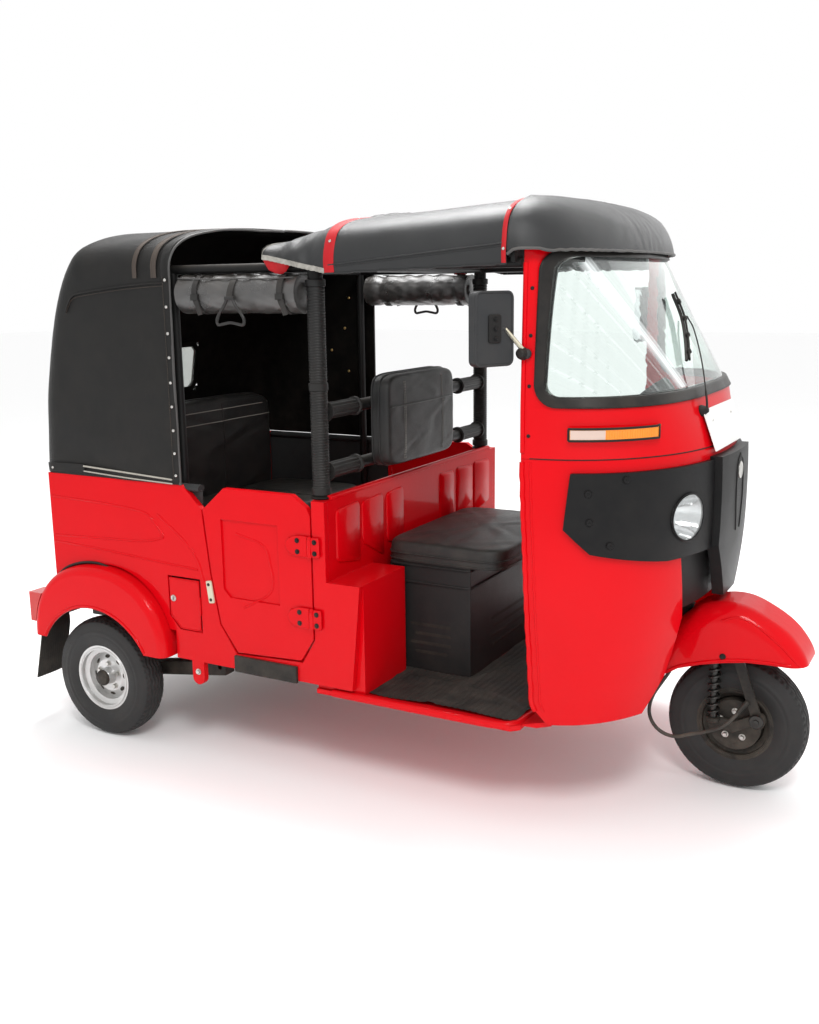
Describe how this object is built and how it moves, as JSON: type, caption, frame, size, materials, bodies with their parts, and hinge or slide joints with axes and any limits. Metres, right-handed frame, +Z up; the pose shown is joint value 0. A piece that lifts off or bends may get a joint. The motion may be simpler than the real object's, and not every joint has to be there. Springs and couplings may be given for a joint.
{
  "type": "auto rickshaw",
  "caption": "Open-sided passenger three-wheeler with a soft hood, canopy, doors, steered front wheel and rear engine bay.",
  "frame": {"origin": "on the ground under the middle of the vehicle's bounding box", "axes": "+X forwards along the vehicle, +Y to its left, +Z up"},
  "size_m": [2.5839, 1.4032, 1.7421],
  "materials": {
    "red_paint": "gloss",
    "black_frame": "satin",
    "black_plastic": "matt",
    "black_vinyl": "satin",
    "seat_vinyl": "satin",
    "black_rubber": "matt",
    "tyre_rubber": "matt",
    "silver_rim": "satin",
    "clear_glass": "clear",
    "amber_lens": "gloss",
    "red_lens": "gloss",
    "white_plate": "gloss",
    "cream_plastic": "matt",
    "cast_block": "matt"
  },
  "bodies": {
    "body": {"apron": "red_paint", "bench_base": "black_plastic", "body_side_left": "red_paint", "body_side_right": "red_paint", "chassis_frame": "black_frame", "cowl_upper": "red_paint", "dash_shelf": "cream_plastic", "driver_backrest": "seat_vinyl", "driver_seat": "seat_vinyl", "driver_seat_box": "black_plastic", "engine": "cast_block", "floor_pan": "red_paint", "front_canopy": "black_vinyl", "front_indicators": "amber_lens", "headlamps": "clear_glass", "mirrors": "black_plastic", "mudflaps": "black_rubber", "nose_fairing": "black_plastic", "nose_trim": "black_plastic", "number_plate": "white_plate", "partition": "red_paint", "passenger_seat": "seat_vinyl", "rear_bumper": "black_frame", "rear_fenders": "red_paint", "rear_hood": "black_vinyl", "rear_panel": "red_paint", "rear_suspension": "black_frame", "rear_window": "clear_glass", "roof_cap": "black_vinyl", "roof_frame": "black_frame", "side_curtains": "black_vinyl", "step_plates": "black_frame", "tail_lamps": "red_lens", "windscreen": "clear_glass", "windscreen_seal": "black_rubber"},
    "steering": {"front_fork": "black_frame", "front_link": "black_frame", "front_spring": "black_frame", "front_fender": "red_paint", "brake_hose": "black_rubber"},
    "front_wheel": {"front_tyre": "tyre_rubber", "front_rim": "black_frame"},
    "rear_wheel_right": {"rear_right_tyre": "tyre_rubber", "rear_right_rim": "silver_rim"},
    "rear_wheel_left": {"rear_left_tyre": "tyre_rubber", "rear_left_rim": "silver_rim"},
    "right_door": {"door_right": "red_paint"},
    "left_door": {"door_left": "red_paint"},
    "flap": {"fuel_flap": "red_paint"},
    "lid": {"engine_lid": "red_paint"}
  },
  "joints": [
    {"name": "steer", "type": "hinge", "parent": "body", "child": "steering", "pos_m": [0.914, 0, 0.523], "axis": [-0.4067, 0, 0.9135], "range_deg": [-35, 35]},
    {"name": "front_wheel_spin", "type": "hinge", "parent": "steering", "child": "front_wheel", "pos_m": [1.085, 0, 0.207], "axis": [0, 1, 0], "continuous": true},
    {"name": "rear_wheel_right_spin", "type": "hinge", "parent": "body", "child": "rear_wheel_right", "pos_m": [-0.915, -0.575, 0.207], "axis": [0, 1, 0], "continuous": true},
    {"name": "rear_wheel_left_spin", "type": "hinge", "parent": "body", "child": "rear_wheel_left", "pos_m": [-0.915, 0.575, 0.207], "axis": [0, 1, 0], "continuous": true},
    {"name": "right_door_hinge", "type": "hinge", "parent": "body", "child": "right_door", "pos_m": [-0.05, -0.606, 0.64], "axis": [0, 0, 1], "range_deg": [0, 80]},
    {"name": "left_door_hinge", "type": "hinge", "parent": "body", "child": "left_door", "pos_m": [-0.05, 0.606, 0.64], "axis": [0, 0, -1], "range_deg": [0, 80]},
    {"name": "fuel_flap_hinge", "type": "hinge", "parent": "body", "child": "flap", "pos_m": [-0.4823, -0.602, 0.515], "axis": [0, 0, 1], "range_deg": [0, 100]},
    {"name": "engine_lid_hinge", "type": "hinge", "parent": "body", "child": "lid", "pos_m": [-1.19, 0, 0.806], "axis": [0, 1, 0], "range_deg": [0, 75]}
  ]
}
